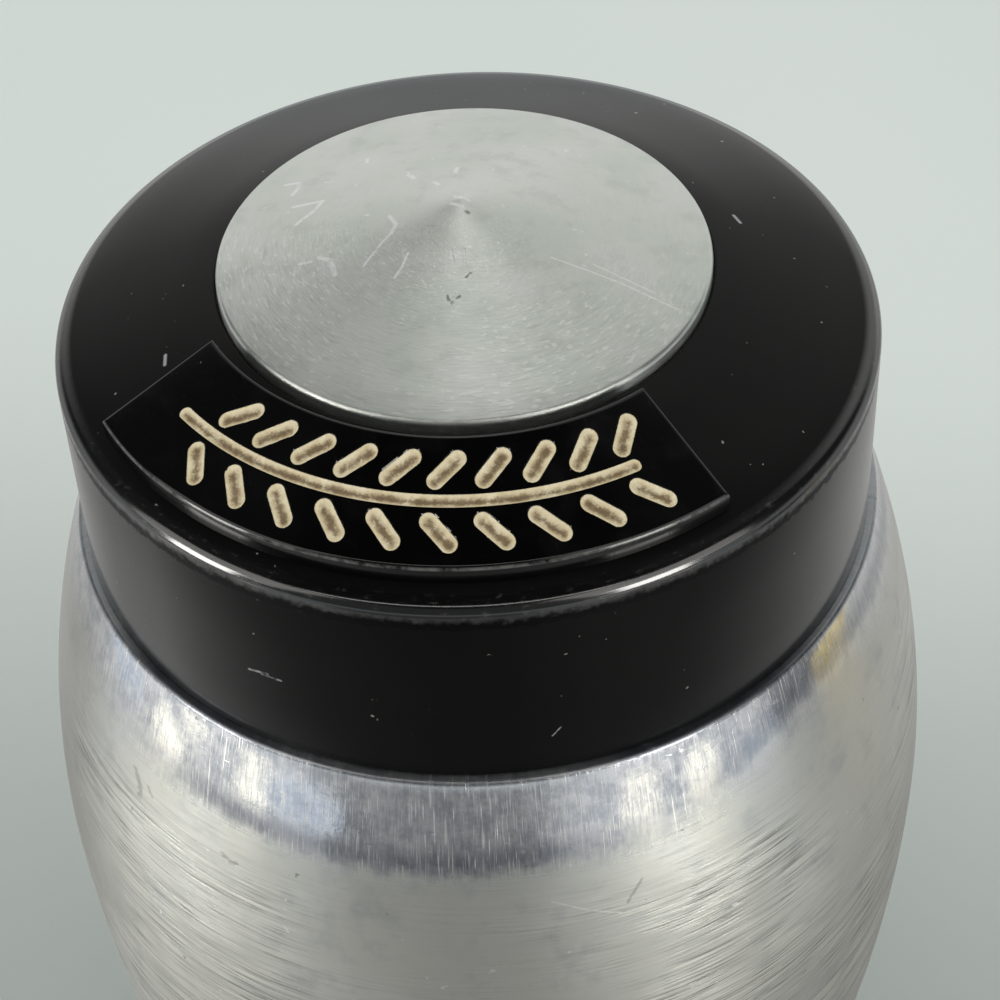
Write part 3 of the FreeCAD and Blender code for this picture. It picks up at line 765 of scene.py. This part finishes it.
def cap_plastic():
    """The cap: satin black moulding, rubbed shiny and scuffed on its rim."""
    f = new_finish("satin_black_moulding")
    at = Place(f)
    grain = f.noise(at.here, 6.0, 3.0)
    cloudy = f.noise(at.here, 0.1, 3.0)
    scuff = f.noise(at.here, 1.6, 4.0, 0.65)
    ragged = at.z + (scuff - 0.5) * 1.1
    rim = at.radius.rise(25.9, 26.5) * ragged.rise(88.3, 88.6)
    gloss = rim * ragged.rise(88.9, 89.5)
    rubs = at.spun(30.0, 3.2, 11.0).rise(0.48, 0.68)
    dust = f.noise(at.here, 1.7, 1.0).rise(0.78, 0.81)
    cuts = at.marks(at.x, at.z, CAP_CUTS) * at.front.rise(0.0, 0.2) * scuff.rise(0.35, 0.55)
    nicks = (at.marks(at.x, at.y, CAP_NICKS) * at.z.rise(90.5, 91.0)).most(cuts)
    colour = f.mix(cloudy.rise(0.35, 0.65), tone(4, 4, 4), tone(8, 7, 7))
    colour = f.mix(dust * 0.5, colour, tone(170, 168, 160))
    colour = f.mix(nicks * 0.7, colour, tone(176, 178, 178))
    colour = f.mix(rim, colour, tone(2, 2, 2))
    colour = f.mix(gloss * rubs * scuff.rise(0.52, 0.66) * 0.1, colour, tone(150, 148, 138))
    rough = 0.4 + (grain - 0.5) * 0.08 + (cloudy - 0.5) * 0.14
    rough = rough * (1.0 - rim) + rim * (0.1 + rubs * 0.1 + scuff.rise(0.5, 0.7) * 0.14)
    relief = grain * 0.5 * (1.0 - rim) + rim * (rubs * 0.9 + scuff * 0.7) - nicks
    facing = f.add("ShaderNodeLayerWeight", None, {"Blend": 0.5}, "Facing")
    ring = at.z.rise(89.2, 91.0)
    edge_on = facing.rise(0.4, 0.8) * (0.9 - ring * 0.5)
    shine = gloss.most(edge_on * (1.0 - rim)).most(ring * 0.08)
    return f.surface(
        Base_Color=colour, Roughness=rough, Specular_IOR_Level=0.11,
        Sheen_Weight=0.15, Sheen_Roughness=0.12, Sheen_Tint=(1.0, 0.95, 0.9, 1),
        Coat_Weight=shine, Coat_IOR=1.9, Coat_Roughness=0.14, Normal=f.bump(relief, 0.007),
    )


def plate_plastic():
    """The plate: hard glossy black, with hairline scratches and a little dust."""
    f = new_finish("glossy_black_plate")
    at = Place(f)
    hair = f.noise(f.spot(at.x * 3.0 + at.y * 2.0, at.y * 0.5, at.z * 0.5), 2.0, 2.0)
    smear = f.noise(at.here, 0.35, 3.0)
    dust = f.cells(at.here, 0.8).rise(0.06, 0.025) * f.noise(at.here, 0.3, 1.0).rise(0.5, 0.6)
    # Wear on the plate's outer top edge, lightened into a thin painted highlight line.
    worn_edge_and_highlight = at.radius.rise(25.3, 25.4) * at.z.rise(91.62, 91.72) * at.z.rise(91.9, 91.8)
    worn_edge_and_highlight = worn_edge_and_highlight * f.noise(at.here, 1.2, 4.0, 0.6).rise(0.3, 0.6)
    colour = f.mix(worn_edge_and_highlight * 0.34, tone(3, 3, 3), tone(150, 150, 146))
    colour = f.mix(dust * 0.5, colour, tone(150, 150, 146))
    rough = 0.1 + smear.rise(0.45, 0.75) * 0.1 + hair.rise(0.66, 0.74) * 0.1
    return f.surface(
        Base_Color=colour, Roughness=rough, Normal=f.bump(hair.rise(0.6, 0.75), 0.002),
    )


def cream_paint():
    """The paint in the grooves: cream, darker and browner towards the middle of each stroke, with
    old brown dirt.
    """
    f = new_finish("cream_groove_paint")
    at = Place(f)
    edge = f.add("ShaderNodeAttribute", {"attribute_name": "edge"}, outlet="Fac")
    blotch = f.noise(at.here, 1.3, 4.0, 0.6)
    grit = f.noise(at.here, 7.0, 4.0, 0.65)
    # Darker and browner towards the middle of each stroke.
    hollow = edge.rise(0.92, 0.3) * (0.35 + blotch.rise(0.3, 0.62) * 0.65)
    dirt = (blotch * 0.8 + grit * 0.7 - edge * 0.75).rise(0.3, 0.72)
    flecks = f.cells(at.here, 2.6).rise(0.13, 0.05) * grit.rise(0.45, 0.6)
    colour = f.mix(blotch.rise(0.3, 0.7), tone(231, 219, 186), tone(214, 198, 158))
    colour = f.mix(hollow * 0.75, colour, tone(158, 134, 90))
    colour = f.mix(dirt * 0.8, colour, tone(92, 70, 42))
    colour = f.mix(flecks * 0.7, colour, tone(58, 46, 32))
    colour = f.mix(edge.rise(0.9, 1.0) * grit.rise(0.4, 0.65) * 0.7, colour, tone(60, 50, 38))
    return f.surface(
        Base_Color=colour, Roughness=0.5 + (grit - 0.5) * 0.3, Normal=f.bump(grit, 0.05),
    )


def sifter_plastic():
    """The sifter insert: milky moulded plastic."""
    f = new_finish("milky_sifter_plastic")
    at = Place(f)
    cloudy = f.noise(at.here, 0.25, 3.0)
    grain = f.noise(at.here, 4.0, 2.0)
    flow = at.spun(3.0, 1.5)
    colour = f.mix(cloudy.rise(0.3, 0.7), tone(228, 224, 212), tone(236, 233, 224))
    colour = f.mix(flow.rise(0.55, 0.8) * 0.25, colour, tone(205, 197, 178))
    return f.surface(
        Base_Color=colour, Roughness=0.38 + (grain - 0.5) * 0.12, Subsurface_Weight=0.15,
        Subsurface_Radius=(0.002, 0.0016, 0.0012), Normal=f.bump(grain, 0.006),
    )


def liner_board():
    """The liner: waxed pulp board with short fibres and a pressed ring."""
    f = new_finish("waxed_pulp_board")
    at = Place(f)
    fibres = f.noise(f.spot(at.x * 0.8 + at.y * 0.4, at.y * 2.6 - at.x * 0.3, at.z), 1.4, 4.0, 0.65)
    cross = f.noise(f.spot(at.x * 2.4, at.y * 0.6, at.z + 5.0), 1.2, 3.0, 0.6)
    pressed = at.radius.rise(22.0, 22.6) * at.radius.rise(24.2, 23.6)
    colour = f.mix(fibres.rise(0.35, 0.7), tone(214, 202, 172), tone(188, 172, 138))
    colour = f.mix(cross.rise(0.6, 0.72) * 0.5, colour, tone(150, 130, 96))
    colour = f.mix(pressed * 0.3, colour, tone(140, 122, 92))
    relief = fibres + cross * 0.6 - pressed * 1.5
    return f.surface(
        Base_Color=colour, Roughness=0.48 + (fibres - 0.5) * 0.3, Normal=f.bump(relief, 0.04),
    )


def make_pieces():
    jar_metal, disc_metal, black = spun_aluminium(), turned_aluminium(), cap_plastic()
    strokes = sprig_strokes()
    jar = new_piece("jar_body", *lathe(jar_outline()), "jar", jar_metal, "jar_metal")
    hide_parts("jar_shell")
    ridge = helix_ridge(NECK_RADIUS, JAR_RIDGE_CREST, JAR_RIDGE_HEIGHT)
    new_piece("jar_thread", *ridge, "jar", jar_metal, "jar_metal")
    cap = new_piece("cap_body", *lathe(cap_outline()), "cap", black, "cap_plastic")
    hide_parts("screw_cap")
    ridge = helix_ridge(CAP_BORE, CAP_RIDGE_CREST, CAP_RIDGE_HEIGHT)
    new_piece("cap_thread", *ridge, "cap", black, "cap_plastic")
    disc = new_piece("cap_disc_turned", *lathe(disc_outline()), "cap", disc_metal, "disc_metal")
    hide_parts("cap_disc")
    plate = new_piece("sprig_plate", *plate_shape(strokes), "cap", plate_plastic(), "plate_plastic")
    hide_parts("label_plate")
    points, faces, edge = paint_shape(strokes)
    paint = new_piece("sprig_paint", points, faces, "cap", cream_paint(), "inlay_paint")
    attribute = paint.data.attributes.new("edge", "FLOAT", "POINT")
    attribute.data.foreach_set("value", edge)
    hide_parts("label_inlay")
    for node, finish in (("sifter_insert", sifter_plastic()), ("cap_liner", liner_board())):
        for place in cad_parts[node].material_slots:
            place.material = finish


# The studio.


def flat_ring(name, finish, inner, outer, height, sides=96):
    """A flat ring on the table, or a full disc where the inner radius is zero."""
    turn = np.arange(sides) * 2 * math.pi / sides
    ring = np.column_stack([np.cos(turn), np.sin(turn)])
    level = np.full(sides, height)
    points = np.column_stack([outer * ring, level])
    faces = [tuple(range(sides))]
    if inner:
        points = np.vstack([points, np.column_stack([inner * ring, level])])
        faces = [(k, (k + 1) % sides, sides + (k + 1) % sides, sides + k) for k in range(sides)]
    piece = in_scene(name, new_mesh(name, points, faces, finish))
    return piece


def only_mirrored(piece):
    """Leaves a piece of the studio to reflections alone."""
    piece.visible_camera = False
    piece.visible_diffuse = False
    piece.visible_transmission = False
    piece.visible_shadow = False
    return piece


def make_floor():
    f = new_finish("pale_table")
    at = Place(f)
    cloudy = f.noise(at.here, 0.01, 2.0)
    colour = f.mix(cloudy.rise(0.3, 0.7), tone(221, 228, 223), tone(224, 230, 226))
    # Painted shadow: the table darker near the jar and in front of it.
    near = at.y.rise(110.0, -40.0) * at.radius.rise(330.0, 150.0)
    colour = f.mix(near, colour, tone(166, 172, 168))
    colour = f.mix(at.radius.rise(220.0, 480.0), colour, tone(192, 198, 194))
    finish = f.surface(Base_Color=colour, Roughness=0.9, Specular_IOR_Level=0.1)
    flat_ring("table", finish, 0, 3000, -0.1)


def glow(f, colour, strength=1.0):
    shader = f.add("ShaderNodeEmission", None, {"Color": colour, "Strength": strength})
    f.add("ShaderNodeOutputMaterial", None, {"Surface": shader})
    return f.owner


# How bright the metal sees the table in each direction, by azimuth.
MIRRORED_LEVELS = (
    (-180, 0.5), (-140, 0.5), (-112, 0.4), (-98, 0.35), (-86, 0.45), (-76, 0.6),
    (-62, 0.57), (-46, 0.57), (-32, 0.5), (-16, 0.37), (4, 0.28), (20, 0.3), (32, 0.42),
    (45, 0.51), (54, 0.48), (66, 0.43), (80, 0.45), (95, 0.43), (112, 0.44), (140, 0.48),
    (180, 0.5),
)

# Soft patches of light that lie on the mirrored table: place, radius and colour.
WARM, COOL, AMBER = (1.5, 1.43, 1.22, 1), (0.6, 0.65, 0.72, 1), (0.62, 0.5, 0.25, 1)
MIRRORED_GLOWS = (
    (-163, -79, 17, WARM), (-196, -123, 18, WARM), (-162, -190, 19, WARM),
    (-135, -155, 17, WARM), (203, -188, 20, WARM), (221, -122, 18, WARM),
    (183, -101, 17, WARM), (161, -158, 18, WARM), (-116, -206, 42, COOL),
    (-180, -30, 24, COOL), (180, -52, 30, COOL), (188, 41, 26, AMBER),
)


def make_mirrored_table():
    """What the metal sees of the table: bright at both sides and dim in front."""
    f = new_finish("mirrored_table")
    at = Place(f)
    turn = at.x.math("ARCTAN2", -at.y) / (2 * math.pi) + 0.5
    stops = [
        (azimuth / 360 + 0.5, (level, level, level * 0.985, 1))
        for azimuth, level in MIRRORED_LEVELS
    ]
    near = f.add("ShaderNodeValToRGB", {"stops": stops}, {"Fac": turn}, "Color")
    ahead = at.front.rise(0.86, 0.96) * (0.54 - at.radius.rise(205.0, 245.0) * 0.26)
    dim = f.mix(ahead + 0.05, near, (0.03, 0.035, 0.05, 1))
    sides = abs(at.right).rise(0.35, 0.6) * at.front.rise(0.1, 0.4)
    dim = f.mix(sides * 0.35, dim, (0.8, 0.84, 0.9, 1))
    dim = f.mix(at.right.rise(0.98, 0.997) * 0.68, dim, (0.05, 0.06, 0.08, 1))
    near = f.mix(at.radius.rise(100.0, 50.0) * 0.55, near, (0.05, 0.05, 0.05, 1))
    colour = f.mix(at.radius.rise(160.0, 212.0), near, dim)
    colour = f.mix(at.radius.rise(330.0, 700.0), colour, tone(196, 202, 204))
    only_mirrored(flat_ring("mirrored_table", glow(f, colour), 34, 2900, 0.02))
    for number, (x, y, size, colour) in enumerate(MIRRORED_GLOWS):
        name = f"mirrored_glow_{number}"
        lamp = flat_ring(name, glow(new_finish(name), colour), 0, size, 0.4, 32)
        only_mirrored(lamp).location = (x * MM, y * MM, 0)


# The panels that only reflections show: azimuth, elevation, width, height and level.
MIRRORED_STRIPS = {
    "left_strip": (-54, 7, 180, 280, 10.5),
    "right_strip": (54, 7, 180, 280, 9.5),
    "high_strip": (8, 64, 620, 50, 2.8),
}


def make_mirrored_strip(name, azimuth, elevation, width, height, level):
    """A lamp panel that shows only in reflections."""
    bright = glow(new_finish(name), (*LAMP_COLOUR, 1), level)
    half, rise = width / 2, height / 2
    points = [(-half, -rise, 0), (half, -rise, 0), (half, rise, 0), (-half, rise, 0)]
    strip = in_scene(name, new_mesh(name, points, [(0, 1, 2, 3)], bright))
    way = towards(azimuth, elevation)
    strip.location = (Vector((0, 0, 85)) + PANEL_DISTANCE * way) * MM
    strip.rotation_euler = way.to_track_quat("Z", "Y").to_euler()
    only_mirrored(strip)


def towards(azimuth, elevation):
    """A direction from the jar; azimuth 0 is straight in front and 90 is to the right."""
    turn, lift = math.radians(azimuth), math.radians(elevation)
    return Vector((
        math.sin(turn) * math.cos(lift), -math.cos(turn) * math.cos(lift), math.sin(lift)
    ))


def make_lamp(name, azimuth):
    """A soft square lamp that faces the middle of the jar."""
    light = bpy.data.lights.new(name, "AREA")
    light.shape = "RECTANGLE"
    light.size = light.size_y = LAMP_SIDE * MM
    light.energy = LAMP_POWER
    light.color = LAMP_COLOUR
    lamp = in_scene(name, light)
    middle = Vector((0, 0, 60))
    lamp.location = (middle + LAMP_DISTANCE * towards(azimuth, LAMP_ELEVATION)) * MM
    lamp.rotation_euler = (lamp.location - middle * MM).to_track_quat("Z", "Y").to_euler()


def make_world():
    """Pale to the camera, even for soft light, and bright behind the jar in reflections."""
    world = bpy.data.worlds.new("studio")
    bpy.context.scene.world = world
    f = Finish(world)
    way = f.add("ShaderNodeTexCoord", outlet="Generated")
    parts = f.add("ShaderNodeSeparateXYZ", None, {"Vector": way})
    across, back, up = (parts.outlet(axis) for axis in "XYZ")
    pale, dark = tone(186, 191, 188), (0.05, 0.051, 0.053, 1)
    level = (across * across + back * back).most(1e-6) ** 0.5
    behind = ((back - across * 0.12) / level).rise(0.5, 0.8)
    bright = f.mix(up.rise(0.1, 0.4), (0.85, 0.845, 0.83, 1), (0.59, 0.6, 0.58, 1))
    dim = f.mix(up.rise(0.02, 0.36), (0.5, 0.51, 0.5, 1), dark)
    ahead = (-(back / level)).rise(0.2, 0.7) * up.rise(0.9, 0.6)
    dim = f.mix(ahead, dim, (0.14, 0.142, 0.145, 1))
    high = ((back * 0.966 - across * 0.259) / level).rise(0.92, 0.985) * up.rise(0.76, 0.85)
    bright = f.mix(high, bright, (1.3, 1.32, 1.28, 1))
    gap = ((back * 0.682 - across * 0.731) / level).rise(0.955, 0.995) * up.rise(0.6, 0.75)
    bright = f.mix(gap * 0.34, bright, dark)
    seen = f.mix(behind, dim, bright)
    seen = f.mix((up - back * 0.25).rise(0.88, 0.95), seen, (0.012, 0.012, 0.013, 1))
    ray = f.add("ShaderNodeLightPath", outlet="Is Camera Ray")
    mirrored = ray.outlet("Is Glossy Ray").most(ray.outlet("Is Transmission Ray"))
    lit = f.mix(mirrored, tone(222, 224, 224), seen)
    lit = f.mix(ray, lit, pale)
    shader = f.add("ShaderNodeBackground", None, {"Color": lit, "Strength": 1.0})
    f.add("ShaderNodeOutputWorld", None, {"Surface": shader})


def make_camera():
    data = bpy.data.cameras.new("camera")
    data.sensor_width = SENSOR_WIDTH
    data.lens = LENS
    data.clip_start = 0.005
    camera = in_scene("camera", data)
    right = Vector(CAMERA_RIGHT).normalized()
    forward = Vector(CAMERA_FORWARD).normalized()
    up = right.cross(forward).normalized()
    right = forward.cross(up).normalized()
    turn = Matrix((right, up, -forward)).transposed()
    camera.matrix_world = Matrix.Translation(Vector(CAMERA_SPOT) * MM) @ turn.to_4x4()
    bpy.context.scene.camera = camera


make_pieces()
make_floor()
make_mirrored_table()
make_lamp("left_lamp", -56)
make_lamp("right_lamp", 60)
for strip_name, panel in MIRRORED_STRIPS.items():
    make_mirrored_strip(strip_name, *panel)
make_world()
make_camera()
bpy.context.scene.view_settings.view_transform = "Standard"
